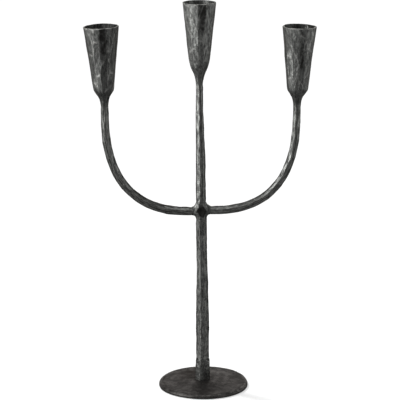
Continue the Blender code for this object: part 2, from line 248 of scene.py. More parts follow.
def flat_bar(along, angles, half_width, seed, calm, blows):
    """Radius of a hammered eight-sided bar at each place along it and angle round it, and its ridges.

    calm is 0 where the bar keeps its plain section, so that it meets its neighbour, and 1 elsewhere.
    """
    rng = np.random.default_rng(seed)
    distances = []
    for flat in range(BAR_FLATS):
        marks = np.arange(along[0] - blows.spacing, along[-1] + blows.spacing, blows.spacing)
        marks = marks + rng.uniform(-0.35, 0.35, len(marks)) * blows.spacing
        depths = rng.uniform(-1, 1, len(marks)) * blows.depth
        dish = BLOW_CURVATURE * (along[:, None] - marks) ** 2
        hollow = (depths + dish).min(axis=1)
        hollow = hollow - hollow.mean()
        swayed = np.interp(along, marks, rng.uniform(-1, 1, len(marks))) * math.radians(blows.sway)
        facing = TAU * flat / BAR_FLATS + (blows.turned + swayed) * calm
        turn = np.cos(angles - facing[:, None])
        distances.append((half_width + hollow * calm)[:, None] / np.maximum(turn, LEAST_FACING))
    return soft_min(np.stack(distances, axis=-1), blows.softness)


def pitted(along, angles, radius, seed, spots):
    """Dents and pits with raised lips. spots is a list of (along, angle, size, depth)."""
    change = np.zeros((len(along), len(angles)))
    for place, angle, size, depth in spots:
        rise = (along[:, None] - place) / size
        turn = radius[:, None] * wrapped(angles - angle) / size
        away = np.hypot(rise, turn)
        change += depth * (0.3 * bell(away - 1.45, 0.45) - bell(away, 1.0))
    unrolled = np.stack(np.broadcast_arrays(along[:, None], radius[:, None] * angles, 0.0), -1)
    ragged = noise(unrolled, 1.5 * MM, seed)
    return change * (1 + 0.5 * ragged)


def cold_shut(bar, angles, seam, seed):
    """A wavering, broken seam along a bar where the metal was folded, and the pale lip at one side of it."""
    line = bar.along[:, None] * np.array((1.0, 0.0, 0.0))
    wander = 0.9 * MM * noise(line, 16 * MM, seed)
    beside = bar.half_width[:, None] * wrapped(angles - seam.angle) - wander[:, None]
    open_part = smoothstep(-0.5, 0.2, noise(line, 7 * MM, seed + 1))[:, None]
    width = (0.3 + 0.35 * open_part) * seam.width
    return bell(beside, width) * open_part, bell(beside + 0.9 * MM, 0.4 * MM) * open_part


def scattered(seed, count, low, high, size, depth):
    """Pits at random over a bar: a list for pitted."""
    rng = np.random.default_rng(seed)
    spots = []
    for _ in range(count):
        place = rng.uniform(low, high)
        angle = rng.uniform(0, TAU)
        spots.append((place, angle, size * rng.uniform(0.7, 1.4), depth * rng.uniform(0.5, 1.2)))
    return spots


# ---- building skins


def skin(name, rings, wear_and_painted_light, ring_shaped=False):
    """A closed mesh from rings of points. Its ends are joined to each other, or each closed with a point."""
    rows, columns = rings.shape[:2]
    points = rings.reshape(-1, 3)
    wear_and_painted_light = wear_and_painted_light.reshape(-1)
    index = np.arange(rows * columns).reshape(rows, columns)
    lower, upper = (index, np.roll(index, -1, axis=0)) if ring_shaped else (index[:-1], index[1:])
    quads = np.stack([lower, np.roll(lower, -1, 1), np.roll(upper, -1, 1), upper], axis=-1).reshape(-1, 4)
    corners = points[quads] - points.mean(axis=0)
    normals = np.cross(corners[:, 2] - corners[:, 0], corners[:, 3] - corners[:, 1])
    outward = (normals * corners.mean(axis=1)).sum() > 0
    faces = quads.tolist()
    if not ring_shaped:
        first, last = len(points), len(points) + 1
        points = np.vstack([points, rings[0].mean(axis=0), rings[-1].mean(axis=0)])
        wear_and_painted_light = np.append(wear_and_painted_light, (0.0, 0.0))
        faces += [(first, index[0, (i + 1) % columns], index[0, i]) for i in range(columns)]
        faces += [(last, index[-1, i], index[-1, (i + 1) % columns]) for i in range(columns)]
    if not outward:
        faces = [tuple(reversed(face)) for face in faces]
    return new_mesh(name, points, faces, wear_and_painted_light)


def placed(name, data):
    """A new object in the scene."""
    obj = bpy.data.objects.new(name, data)
    bpy.context.scene.collection.objects.link(obj)
    return obj


def new_mesh(name, points, faces, wear_and_painted_light):
    """A smooth-shaded mesh object that carries, for each point, its marks of use and its painted light and
    shade.
    """
    mesh = bpy.data.meshes.new(name)
    mesh.from_pydata(points.tolist(), [], faces)
    mesh.update()
    mesh.attributes.new("wear_and_painted_light", "FLOAT", "POINT").data.foreach_set("value", wear_and_painted_light.astype(np.float32))
    mesh.shade_smooth()
    mesh.set_sharp_from_angle(angle=SHARP_FROM)
    return placed(name, mesh)


def adopt(obj, node, material):
    """Puts a skin in its CAD node's place."""
    obj.data.materials.append(material)
    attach(obj, "root")
    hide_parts(node)


def around(columns):
    """Even angles over a full turn."""
    return np.arange(columns) * TAU / columns


def unit_circle(angles):
    """Points of the unit circle about Z."""
    return np.stack([np.cos(angles), np.sin(angles), 0 * angles], axis=-1)


def upright(radii, heights, angles):
    """Level rings of points about Z, each with its radius and height."""
    return radii[:, None, None] * unit_circle(angles) + heights[:, None, None] * np.array((0.0, 0.0, 1.0))


def sweep(centres, sides, radii, angles):
    """Rings of points round a centre line. sides is where angle 0 points at each place; Y is across it."""
    outward = np.cos(angles)[None, :, None] * sides[:, None, :]
    outward = outward + np.sin(angles)[None, :, None] * np.array((0.0, 1.0, 0.0))
    return centres[:, None, :] + radii[..., None] * outward


def hole_in(end_ring, inward, fastener, depth):
    """Rings that run from a bar's end in over its end face, then down the hole for a stud or screw."""
    inward = np.array(inward, float)
    low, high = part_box(fastener)
    shank = SHANK_RADIUS if fastener == "base_screw" else (high.x - low.x) / 2
    middle = end_ring.mean(axis=0)
    spokes = unit(end_ring - middle)
    middle[0] = centre_x(fastener)
    mouth = middle + spokes * (shank + CLEARANCE)
    rings = [end_ring + (mouth - end_ring) * share for share in (0.08, 0.5, 0.92, 1.0)]
    rings += [mouth + inward * depth * share for share in (0.03, 0.5, 0.97, 1.0)]
    return np.array(rings)


def with_ends(wear_and_painted_light, before, after):
    """Marks of use and painted light, with plain rows added for a skin's end rings."""
    columns = wear_and_painted_light.shape[1]
    return np.vstack([np.zeros((before, columns)), wear_and_painted_light, np.zeros((after, columns))])


# ---- stem and arms


@dataclass
class Bar:
    """A bar's run: places along it, centre line, where angle 0 points, half width and calm ends."""

    along: np.ndarray
    centres: np.ndarray
    sides: np.ndarray
    half_width: np.ndarray
    calm: np.ndarray


class Seam(NamedTuple):
    """Where a cold shut runs along a bar."""

    angle: float
    width: float = 1.0 * MM


def bar_surface(bar, seed, blows, seam, spots):
    """Rings of a hammered, finely uneven, pitted bar, the marks of use on each point, and painted shade on
    its sides.
    """
    angles = around(BAR_COLUMNS)
    calm = bar.calm[:, None]
    radii, ridge = flat_bar(bar.along, angles, bar.half_width, seed, bar.calm, blows)
    drawn_out = upright(bar.half_width, 0.35 * bar.along, angles)
    rough = 0.10 * noise(drawn_out, 4 * MM, seed + 1) + 0.09 * noise(drawn_out, 1.7 * MM, seed + 2)
    shallow = smoothstep(0.35, 0.75, noise(drawn_out, 2.6 * MM, seed + 3))
    radii = radii + calm * (rough - 0.20 * shallow) * MM
    radii = radii + calm * pitted(bar.along, angles, bar.half_width, seed + 4, spots)
    fold, lip = cold_shut(bar, angles, seam, seed + 5)
    radii = radii + (0.12 * lip - 0.35 * fold) * calm * MM
    # Painted shade: the sides of the bar darkened where they turn away from the front.
    shaded_sides = smoothstep(0.74, 0.95, np.abs(np.cos(angles)))
    wear_and_painted_light = ridge + (0.9 * lip - 0.8 * fold - SIDE_SHADE * shaded_sides) * calm
    return sweep(bar.centres, bar.sides, radii, angles), wear_and_painted_light


def stem(node, seed, blows, seam, spots, holes, shoulder=None, bow=(0.0, 0.0), paler_foot=0.0):
    """A stem bar with a bored hole at its foot and at its top.

    Below the shoulder, if it has one, it is a plain tenon. bow is the height of the bend in its middle line
    and how far to the right it reaches. The last argument is how much paler it grows towards its foot, in
    patches.
    """
    low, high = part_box(node)
    heights = np.append(np.arange(low.z, high.z - BAR_ROW / 2, BAR_ROW), high.z)
    middle, half_width = across(node, np.clip(heights, low.z + END_MARGIN, high.z - END_MARGIN))
    start = low.z if shoulder is None else shoulder
    full = heights >= start
    half_width[~full] = half_width[0]
    half_width[full] = smoothed(half_width[full], 10)
    middle[full] = smoothed(middle[full], 10)
    heights[-1] = high.z + HAIRLINE
    if shoulder is None:
        heights[0] = low.z - HAIRLINE
    calm = smoothstep(0, CALM_LENGTH, high.z - heights) * smoothstep(0, CALM_LENGTH, heights - start)
    middle = middle + bow[1] * bell(heights - bow[0], BOW_REACH)
    half_width = half_width * (1 - 0.07 * abs(blows.turned) * calm)
    centres = np.stack([middle, 0 * middle, heights], axis=-1)
    sides = np.tile((1.0, 0.0, 0.0), (len(heights), 1))
    rings, wear_and_painted_light = bar_surface(Bar(heights, centres, sides, half_width, calm), seed, blows, seam, spots)
    # Paler towards the foot, in patches.
    scaly = smoothstep(0.0, 0.4, noise(rings, 10 * MM, seed + 7))
    wear_and_painted_light = wear_and_painted_light + paler_foot * (smoothstep(0.55 * high.z, 0.12 * high.z, heights)[:, None] - scaly)
    foot = hole_in(rings[0], (0, 0, 1), *holes[0])
    top = hole_in(rings[-1], (0, 0, -1), *holes[1])
    rings = np.concatenate([foot[::-1], rings, top])
    return skin(node + "_skin", rings, with_ends(wear_and_painted_light, len(foot), len(top)))


def lower_stem():
    """The thick bar under the cross: pitted, most of all near its foot, where dents bite into its left."""
    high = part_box("stem_lower")[1]
    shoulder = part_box("foot_collar")[1].z + 0.4 * MM
    dents = ((52.5, 200, 2.2, 0.55), (46.5, 215, 1.8, 0.4), (42.0, 190, 2.0, 0.6), (58.0, 260, 1.6, 0.3))
    spots = [(z * MM, math.radians(angle), size * MM, depth * MM) for z, angle, size, depth in dents]
    spots += scattered(301, 44, shoulder, 0.45 * high.z, 1.0 * MM, 0.34 * MM)
    spots += scattered(302, 34, 0.45 * high.z, high.z, 0.9 * MM, 0.26 * MM)
    blows = Blows(turned=math.radians(3.5), softness=0.22 * MM)
    seam = Seam(math.radians(263))
    holes = (("base_screw", SCREW_HOLE_DEPTH), ("cross_stud", CROSS_HOLE_DEPTH))
    bow = (146 * MM, 0.6 * MM)
    return stem("stem_lower", 61, blows, seam, spots, holes, shoulder, bow, paler_foot=0.4)


def upper_stem():
    """The thin bar from the cross to the middle cup."""
    low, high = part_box("stem_upper")
    spots = scattered(303, 18, low.z, high.z, 0.9 * MM, 0.16 * MM)
    blows = Blows(turned=math.radians(13))
    seam = Seam(math.radians(285))
    holes = (("cross_stud", CROSS_HOLE_DEPTH), ("cup_stud_centre", CUP_HOLE_DEPTH))
    return stem("stem_upper", 65, blows, seam, spots, holes)


def arm_level(side):
    """Height of an arm's middle just outside its shoulder."""
    node = "arm_right" if side > 0 else "arm_left"
    low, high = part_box("cross_boss")
    x = high.x + 1.0 * MM if side > 0 else low.x - 1.0 * MM
    foot = cast(node, (x, OFF_SEAM, low.z - 0.02), (0, 0, 1))[2]
    top = cast(node, (x, OFF_SEAM, high.z + 0.02), (0, 0, -1))[2]
    return (foot + top) / 2


def arm_line(node, side):
    """Centre line and half width of an arm at even steps, from rays that fan out from inside its bend."""
    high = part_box(node)[1]
    cross_low, cross_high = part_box("cross_boss")
    shoulder = cross_high.x if side > 0 else cross_low.x
    bend = np.array((shoulder + side * 1.0 * MM, OFF_SEAM, high.z - 7.0 * MM))
    turns = np.radians(np.linspace(0.0, 90.0, 361))
    spokes = np.stack([side * np.sin(turns), 0 * turns, -np.cos(turns)], axis=-1)
    inner = np.array([cast(node, bend, spoke) for spoke in spokes])
    outer = np.array([cast(node, bend + spoke * 0.3, -spoke) for spoke in spokes])
    line = (inner + outer) / 2
    chord = np.linalg.norm(outer - inner, axis=1)
    line[:, 1] = 0.0
    start = (shoulder + side * HAIRLINE, 0.0, arm_level(side))
    end = (line[-1, 0], 0.0, high.z + HAIRLINE)
    line = np.vstack([start, line, end])
    chord = np.concatenate([chord[:1], chord, chord[-1:]])
    travelled = np.concatenate([[0], np.cumsum(np.linalg.norm(np.diff(line, axis=0), axis=1))])
    along = np.linspace(0, travelled[-1], int(travelled[-1] / BAR_ROW))
    centres = np.stack([np.interp(along, travelled, line[:, k]) for k in range(3)], axis=-1)
    centres = smoothed(centres, 7)
    spoke = centres - bend
    spoke[along > travelled[-2]] = (side, 0, 0)
    tangent = unit(np.gradient(centres, axis=0))
    sides = np.stack([tangent[:, 2] * side, 0 * along, -tangent[:, 0] * side], axis=-1)
    half_width = np.interp(along, travelled, chord) / 2 * np.abs((sides * unit(spoke)).sum(axis=1))
    return along, centres, sides, smoothed(half_width, 10)


def arm(name, side, seed, fuller):
    """A side arm, hammered, with its tenon and the hole for the cup's stud."""
    node = "arm_" + name
    along, centres, sides, half_width = arm_line(node, side)
    calm = smoothstep(0, CALM_LENGTH, along) * smoothstep(0, CALM_LENGTH, along[-1] - along)
    half_width = half_width + fuller * calm
    spots = scattered(seed + 9, 14, along[0], along[-1], 1.0 * MM, 0.22 * MM)
    blows = Blows(depth=0.12 * MM, spacing=20 * MM, softness=0.08 * MM, sway=3.0)
    seam = Seam(math.radians(284), 1.6 * MM)
    rings, wear_and_painted_light = bar_surface(Bar(along, centres, sides, half_width, calm), seed, blows, seam, spots)
    shoulder_middle = rings[0].mean(axis=0)
    tenon = shoulder_middle + (rings[0] - shoulder_middle) * TENON_HALF_WIDTH / half_width[0]
    start = np.array([tenon - (side * TENON_LENGTH, 0, 0), tenon])
    top = hole_in(rings[-1], (0, 0, -1), "cup_stud_" + name, CUP_HOLE_DEPTH)
    rings = np.concatenate([start, rings, top])
    obj = skin(node + "_skin", rings, with_ends(wear_and_painted_light, len(start), len(top)))
    straight = upright(half_width, along, around(BAR_COLUMNS))
    add_grain(obj, np.pad(straight, ((len(start), len(top)), (0, 0), (0, 0)), mode="edge"))
    return obj


def add_grain(obj, straight):
    """Gives a bent bar's points their places before it was bent, for textures that run along it."""
    places = straight.reshape(-1, 3)
    places = np.vstack([places, places[0], places[-1]]).astype(np.float32)
    grain = obj.data.attributes.new("grain", "FLOAT_VECTOR", "POINT")
    grain.data.foreach_set("vector", places.ravel())


# ---- cups


class CupShape:
    """A cup as the frame has it: its axis, and its outer and inner radius at each level along the axis."""

    def __init__(self, name, support):
        self.node = "cup_" + name
        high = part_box(self.node)[1]
        self.foot = np.array((centre_x("cup_stud_" + name), 0.0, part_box(support)[1].z))
        points = np.array([v.co for v in nodes[self.node].data.vertices])
        rim = points[points[:, 2] > high.z - RIM_BAND].mean(axis=0)
        axis = np.array((rim[0] - self.foot[0], 0.0, rim[2] - self.foot[2]))
        self.axis = axis / np.linalg.norm(axis)
        self.side = np.array((self.axis[2], 0.0, -self.axis[0]))
        self.height = ((points - self.foot) @ self.axis).max()
        above = self.foot + self.axis * (self.height + 0.01)
        self.floor = np.dot(cast(self.node, above, -self.axis) - self.foot, self.axis)
        self.levels = np.append(np.arange(0.0, self.height, CUP_ROW), self.height)
        self.outer = smoothed(self.radii(self.levels, 0.06), 2)
        self.inside = self.levels > self.floor + FLOOR_ROUNDING + 0.2 * MM
        self.inner = self.radii(self.levels[self.inside], 0.0)

    def radii(self, levels, start_distance):
        """Radius at each level, seen from start_distance in front of the axis, or from the axis itself."""
        toward = (0, 1, 0) if start_distance else (0, -1, 0)
        found = []
        for level in np.clip(levels, 0.35 * MM, self.height - 0.7 * MM):
            middle = self.foot + self.axis * level
            place = cast(self.node, middle - (0, start_distance, 0), toward)
            found.append(np.linalg.norm(place - middle))
        return np.array(found)

    def smooth_rings(self):
        """The cup's outside before any hammering."""
        return self.rings(self.levels, np.repeat(self.outer[:, None], CUP_COLUMNS, 1), np.zeros((1, 1)))

    def rings(self, levels, radii, lift):
        """Rings of points at these levels, lifted along the axis."""
        centres = self.foot + levels[:, None] * self.axis
        points = sweep(centres, np.tile(self.side, (len(levels), 1)), radii, around(CUP_COLUMNS))
        return points + lift[..., None] * self.axis


def cup_blows(shape, rng, phase):
    """Hammer blows over a cup: angle, level, depth, twist, lean and how fast each one rises along the cup.

    Columns of tall blows make its facets; small ones on the ridges between them break these into forks.
    """
    blows = []
    for column in range(CUP_FACETS):
        angle = phase + TAU * (column + rng.uniform(-0.10, 0.10)) / CUP_FACETS
        first = shape.height - CUP_BLOW * (0.2 if column % 2 else 0.7)
        for step in range(-1, 4):
            level = first - step * CUP_BLOW + rng.uniform(-0.2, 0.2) * CUP_BLOW
            turn = angle + rng.uniform(-0.07, 0.07)
            depth = rng.uniform(-0.10, 0.10) * MM
            blows.append((turn, level, depth, rng.uniform(-6, 6), rng.uniform(-0.012, 0.012), 0.8))
    for _ in range(12):
        angle = phase + TAU * (rng.integers(CUP_FACETS) + 0.5 + rng.uniform(-0.12, 0.12)) / CUP_FACETS
        level = rng.uniform(0.25, 0.95) * shape.height
        depth = rng.uniform(0.12, 0.28) * MM
        blows.append((angle, level, depth, rng.uniform(-10, 10), 0.0, rng.uniform(1.5, 3.5)))
    return np.array(blows)


def cup_surface(shape, seed, phase):
    """Outer radius of a cup at each level and angle, faceted by the hammer, and its ridges."""
    angles = around(CUP_COLUMNS)
    rng = np.random.default_rng(seed)
    flat = shape.smooth_rings()
    wobble = 0.8 * MM * noise(flat, 8 * MM, seed + 1)
    drift = 4 * MM * noise(flat, 14 * MM, seed + 2)
    angle, level, depth, twist, lean, rise_rate = cup_blows(shape, rng, phase).T
    turn = wrapped(angles[None, :, None] + (wobble / shape.outer[:, None])[..., None] - angle)
    rise = shape.levels[:, None, None] + drift[..., None] - level
    hollow = shape.outer[:, None, None] * turn**2 / 2 + rise_rate * rise**2 + twist * turn * rise / 60
    facet, ridge = soft_min(hollow + lean * rise + depth, 0.04 * MM)
    body = shape.outer[:, None] + facet - 0.22 * MM
    calm = smoothstep(0, CALM_LENGTH, shape.levels)
    neck, neck_ridge = flat_bar(shape.levels, angles, shape.outer, seed + 3, calm, Blows(spacing=12 * MM))
    share = smoothstep(shape.floor - 7 * MM, shape.floor + 1 * MM, shape.levels)[:, None]
    radii = neck + (body - neck) * share
    fine = 0.07 * noise(flat, 2.6 * MM, seed + 4) + 0.04 * noise(flat, 1.2 * MM, seed + 5)
    return radii + calm[:, None] * fine * MM, 0.8 * (neck_ridge + (ridge - neck_ridge) * share)


class ShadePatch(NamedTuple):
    """A patch of painted shade on a cup: degrees round it, share of its height, width in degrees, and
    height.
    """

    angle: float
    level: float
    width: float
    height: float


def cup_shade_patch(shape, patch, seed):
    """How much painted shade a cup has at each level and angle: one ragged patch."""
    turn = wrapped(around(CUP_COLUMNS) - math.radians(patch.angle)) / math.radians(patch.width)
    rise = (shape.levels[:, None] - patch.level * shape.height) / patch.height
    flat = shape.smooth_rings()
    ragged = 0.5 * noise(flat, 5 * MM, seed + 7) + 0.35 * noise(flat, 2 * MM, seed + 8)
    return smoothstep(1.3, 0.0, turn**2 + rise**2 + ragged)


def cup_lip(shape, edge, wall):
    """Rings over the rounded lip, from the outer edge in to the wall's inner side."""
    middle = shape.foot + shape.height * shape.axis
    inward = edge - middle
    inward = unit((inward @ shape.axis)[:, None] * shape.axis - inward)
    rings = []
    for turn in np.radians((20, 40, 60, 90, 120, 140, 160)):
        across_wall = wall / 2 * (1 - math.cos(turn))
        rings.append(edge + inward * across_wall + shape.axis * 0.5 * MM * math.sin(turn))
    return np.array(rings)


def cup_floor(shape, edge):
    """Rings from the foot of the inner wall round and over the floor."""
    middle = edge.mean(axis=0)
    rings = []
    for share in np.linspace(0.125, 1.0, 8):
        drop = FLOOR_ROUNDING * math.sin(share * math.pi / 2)
        shrink = 1 - 0.28 * (1 - math.cos(share * math.pi / 2))
        rings.append(middle + (edge - middle) * shrink - shape.axis * drop)
    foot = rings[-1]
    middle = foot.mean(axis=0)
    return np.array(rings + [middle + (foot - middle) * share for share in (0.7, 0.4, 0.15)])


def cup(name, support, seed, phase, patch):
    """A candle cup: hammered outside, uneven lip, hollow inside, with its hole for the stud."""
    shape = CupShape(name, support)
    radii, ridge = cup_surface(shape, seed, phase)
    uneven = 0.35 * MM * noise(unit_circle(around(CUP_COLUMNS)), 0.7, seed + 6)
    lift = smoothstep(shape.height - 14 * MM, shape.height, shape.levels)[:, None] * uneven
    outside = shape.rings(shape.levels, radii, lift)
    outside[0] = outside[0] - shape.axis * HAIRLINE
    lip = cup_lip(shape, outside[-1], shape.outer[-1] - shape.inner[-1])
    dents = (radii - shape.outer[:, None])[shape.inside]
    inner = shape.inner[:, None] + 0.35 * dents
    inside = shape.rings(shape.levels[shape.inside], inner, lift[shape.inside])[::-1]
    floor = cup_floor(shape, inside[-1])
    hole = hole_in(outside[0], shape.axis, "cup_stud_" + name, CUP_HOLE_DEPTH)
    # Painted shade: the cup darker towards its neck, under the bowl.
    drawn_in = 1 - smoothstep(shape.floor - 8 * MM, shape.floor + 6 * MM, shape.levels)
    # Painted shade: a ragged dark patch where the cup turns away from the light.
    wear_and_painted_light = ridge - 0.9 * cup_shade_patch(shape, patch, seed) - 0.3 * drawn_in[:, None]
    wear_and_painted_light[-1:] = 1.0
    worn_lip = np.ones((3, CUP_COLUMNS))
    # Darker from the inner edge of the lip over the inner wall and floor.
    darker_inside = np.full((len(lip) - 3 + len(inside) + len(floor), CUP_COLUMNS), -0.35)
    wear_and_painted_light = with_ends(np.vstack([wear_and_painted_light, worn_lip, darker_inside]), len(hole), 0)
    return skin(shape.node + "_skin", np.concatenate([hole[::-1], outside, lip, inside, floor]), wear_and_painted_light)


# ---- base and collar


def base_profile(node, hole):
    """The plate's outline as (radius, height) points, from the hole out over the top and back underneath.

    Gives also how many of the points are on the top.
    """
    radius = half_across(node)
    flat_end = radius - BEVEL_WIDTH
    middle = np.linspace(hole, PLATE_MIDDLE, 8)[:-1]
    reach = np.concatenate([middle, np.linspace(PLATE_MIDDLE, flat_end, 72)])
    sampled = np.clip(reach, hole + 1.2 * MM, radius - 2.4 * MM)
    top = smoothed(np.array([cast(node, (0, -r, 0.05), (0, 0, -1))[2] for r in sampled]), 3)
    under = smoothed(np.array([cast(node, (0, -r, -0.05), (0, 0, 1))[2] for r in sampled]), 3)
    edge = [(radius - inset * MM, top[-1] + drop * MM) for inset, drop in BEVEL]
    edge += [(radius - inset * MM, under[-1] + rise * MM) for inset, rise in HEEL]
    back = [(r, z) for r, z in zip(reach[::-1], under[::-1]) if r < radius - 1.3 * MM]
    bore = [(hole, under[0] + (top[0] - under[0]) * share) for share in (0.35, 0.65)]
    return np.array(list(zip(reach, top)) + edge + back + bore), len(reach) + len(BEVEL)


def bend_base_top(rings, radii, dropped, is_top):
    """Dents in the plate's top, and its edge bent up at the back, where the bevel is shallower too.

    dropped is how far each ring of the bevel lies below the flat of the top.
    """
    angles = around(PLATE_COLUMNS)
    dents = 0.24 * noise(rings, 15 * MM, 93) + 0.06 * noise(rings, 5 * MM, 94)
    dents = dents + 0.03 * noise(rings, 2 * MM, 95)
    strength = smoothstep(12 * MM, 22 * MM, radii) * is_top
    rings[..., 2] += strength[:, None] * dents * MM
    at_back = np.maximum(0, np.sin(angles))
    bent_up = 0.6 * bell(wrapped(angles - math.radians(42)), 0.4)
    lifted = 0.25 + 0.8 * at_back + bent_up
    rings[..., 2] += (is_top * radii / half_across("base_plate"))[:, None] * lifted * MM
    rings[..., 2] += 0.8 * np.clip(dropped, 0, 1.0 * MM)[:, None] * at_back


def base_marks_and_light(rings, radii, bevel_start, is_top):
    """Marks and painted light on the plate: a broken line on the bevel, partly polished by use and partly
    painted highlight; a line of painted shade inside it, both stronger at the right; a darker, mottled patch
    near the middle.
    """
    # The bevel's line: partly polished by use, partly a painted highlight.
    lit_and_polished_bevel = 0.9 * bell(radii - bevel_start - 2.4 * MM, 1.7 * MM) * is_top
    # Painted shade along the bend where the bevel starts.
    shade_line = 0.5 * bell(radii - bevel_start + 0.7 * MM, 0.9 * MM) * is_top
    broken = 0.3 + 0.7 * smoothstep(-0.35, 0.35, noise(rings, 5 * MM, 97))
    # Painted light: the bevel's highlight brighter, and its shade line deeper, at the right.
    at_right = smoothstep(0.2, 0.8, np.cos(around(PLATE_COLUMNS)))
    bevel_light_and_shade = (lit_and_polished_bevel[:, None] * (1 + 0.4 * at_right) - shade_line[:, None] * (1 + at_right)) * broken
    away = np.hypot(rings[..., 0] + 16 * MM, rings[..., 1] - 18 * MM)
    # Darker round a spot left of and behind the stem's foot, with random mottling.
    dark_patch_and_mottle = 0.62 * (1 - smoothstep(8 * MM, 38 * MM, away)) + 0.22 * noise(rings, 14 * MM, 96)
    return bevel_light_and_shade - dark_patch_and_mottle * (is_top & (radii < bevel_start))[:, None]


def base_plate():
    """The dished base: softly dented and mottled top, bevelled rim, uneven edge."""
    node = "base_plate"
    radius = half_across(node)
    bevel_start = radius - BEVEL_WIDTH
    hole = SHANK_RADIUS + CLEARANCE
    profile, top_count = base_profile(node, hole)
    radii, heights = profile.T
    shift = centre_x("base_screw") * (1 - smoothstep(hole, PLATE_MIDDLE, radii))
    rings = upright(radii, heights, around(PLATE_COLUMNS))
    rings[..., 0] += shift[:, None]
    circle = unit_circle(around(PLATE_COLUMNS))
    uneven = (0.2 + 0.32 * noise(circle, 0.45, 91) + 0.18 * noise(circle, 0.15, 92)) * MM
    rings += (smoothstep(0.7 * radius, radius, radii)[:, None] * uneven)[..., None] * circle
    is_top = np.arange(len(profile)) < top_count
    dropped = (heights[top_count - len(BEVEL) - 1] - heights) * (is_top & (radii > bevel_start))
    bend_base_top(rings, radii, dropped, is_top)
    wear_and_painted_light = base_marks_and_light(rings, radii, bevel_start, is_top)
    return skin("base_plate_skin", rings, wear_and_painted_light, ring_shaped=True)


def collar_lip(angles, top):
    """Height of the collar's uneven lip: a peak in front, lower at the right, a nick at the left."""
    peak = 3.6 * MM * np.maximum(0, 1 - np.abs(wrapped(angles + math.pi / 2 + 0.15)) / 0.8)
    nick = -1.6 * MM * bell(wrapped(angles - math.radians(195)), 0.35)
    fall = -1.4 * MM * smoothstep(0.2, 0.9, np.cos(angles))
    return top - 0.4 * MM + peak + nick + fall + 1.1 * MM * noise(unit_circle(angles), 0.45, 71)


def collar_points(radii, heights):
    """Points of the collar, about its middle, at these radii and heights."""
    angles = around(COLLAR_COLUMNS)
    return np.stack([radii * np.cos(angles), radii * np.sin(angles), heights], axis=-1)


def collar_radii(heights, low, high):
    """Radius of the collar's outside at each of its points: eight flats, lumps and hollows."""
    at = (low.z, low.z + 16 * MM, high.z, high.z + 4 * MM)
    half_width = np.interp(heights, at, COLLAR_RADII)
    levels = np.linspace(low.z, high.z + 6 * MM, SECTION_ROWS)
    plain = np.ones(SECTION_ROWS)
    blows = Blows(depth=0.0, spacing=13 * MM, softness=0.02)
    flats = flat_bar(levels, around(COLLAR_COLUMNS), plain, 77, plain, blows)[0]
    row = np.clip(((heights - levels[0]) / (levels[1] - levels[0])).astype(int), 0, SECTION_ROWS - 1)
    radii = half_width * (0.25 + 0.75 * np.take_along_axis(flats, row, axis=0) / 1.03)
    points = collar_points(half_width, heights)
    lumps = 0.16 * noise(points, 4 * MM, 74) + 0.09 * noise(points, 1.8 * MM, 76)
    hollows = 0.35 * smoothstep(0.35, 0.8, noise(points, 6 * MM, 75))
    return radii + (lumps - hollows) * MM


def collar_marks_and_light(shares):
    """The collar is polished to bright metal along its lip; a highlight is painted at the left of its foot,
    and shade low on the right.
    """
    angles = around(COLLAR_COLUMNS)
    broken = smoothstep(-0.3, 0.5, noise(unit_circle(angles), 0.3, 78))
    lip_wear = 0.7 * smoothstep(0.92, 1.0, shares) * broken
    # Painted highlight low on the left, the lit side of the foot.
    foot_highlight = 0.9 * (1 - smoothstep(0.0, 0.06, shares)) * smoothstep(0.1, 0.7, -np.cos(angles))
    # Painted shade low on the right, the side away from the light.
    shaded_side = smoothstep(-0.3, 0.15, np.cos(angles)) * (1 - smoothstep(0.35, 0.6, shares))
    return np.maximum(lip_wear, foot_highlight) - 0.5 * shaded_side


def foot_collar():
    """The hammered socket at the stem's foot, its sides running on into the stem, with an uneven lip."""
    node = "foot_collar"
    low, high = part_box(node)
    start = low.z - HAIRLINE
    shares = np.linspace(0, 1, COLLAR_ROWS)[:, None]
    heights = start + shares * (collar_lip(around(COLLAR_COLUMNS), high.z) - start)
    rounded_lip = 0.45 * MM * smoothstep(0.9, 1.0, shares) ** 2
    radii = collar_radii(heights, low, high) - rounded_lip
    mouth = np.minimum(radii - 0.3 * MM, COLLAR_MOUTH)
    opening = smoothstep(high.z - 8 * MM, high.z - 5 * MM, heights)
    inner = COLLAR_BORE + (mouth - COLLAR_BORE) * opening
    rings = np.concatenate([collar_points(radii, heights), collar_points(inner, heights)[::-1]])
    rings[..., 0] += centre_x(node)
    wear_and_painted_light = collar_marks_and_light(shares)
    return skin("foot_collar_skin", rings, np.vstack([wear_and_painted_light, 0 * wear_and_painted_light]), ring_shaped=True)


# ---- the cross


def surface_of(field, origin, cell):
    """Closed mesh where a sampled field changes sign: one point in each cell that the surface crosses."""
    solid = field < 0
    cells = tuple(n - 1 for n in field.shape)
    grid = np.stack(np.indices(field.shape), axis=-1).astype(float)
    total = np.zeros(cells + (3,))
    count = np.zeros(cells)
    crossings = []
    for axis in range(3):
        step = np.eye(3, dtype=int)[axis]
        near = tuple(slice(0, n - s) for n, s in zip(field.shape, step))
        far = tuple(slice(s, None) for s in step)
        crossed = solid[near] != solid[far]
        with np.errstate(divide="ignore", invalid="ignore"):
            share = field[near] / (field[near] - field[far])
        place = grid[near] + np.where(crossed, share, 0.0)[..., None] * step
        for back in itertools.product(*[(0,) if k == axis else (0, 1) for k in range(3)]):
            beside = tuple(slice(v, n + v) for v, n in zip(back, cells))
            total += np.where(crossed[beside][..., None], place[beside], 0.0)
            count += crossed[beside]
        crossings.append(crossed)
    used = count > 0
    numbers = np.full(cells, -1)
    numbers[used] = np.arange(used.sum())
    points = np.array(origin) + total[used] / count[used][:, None] * cell
    faces = [edge_quads(axis, crossed, solid, numbers) for axis, crossed in enumerate(crossings)]
    return points, np.concatenate(faces)


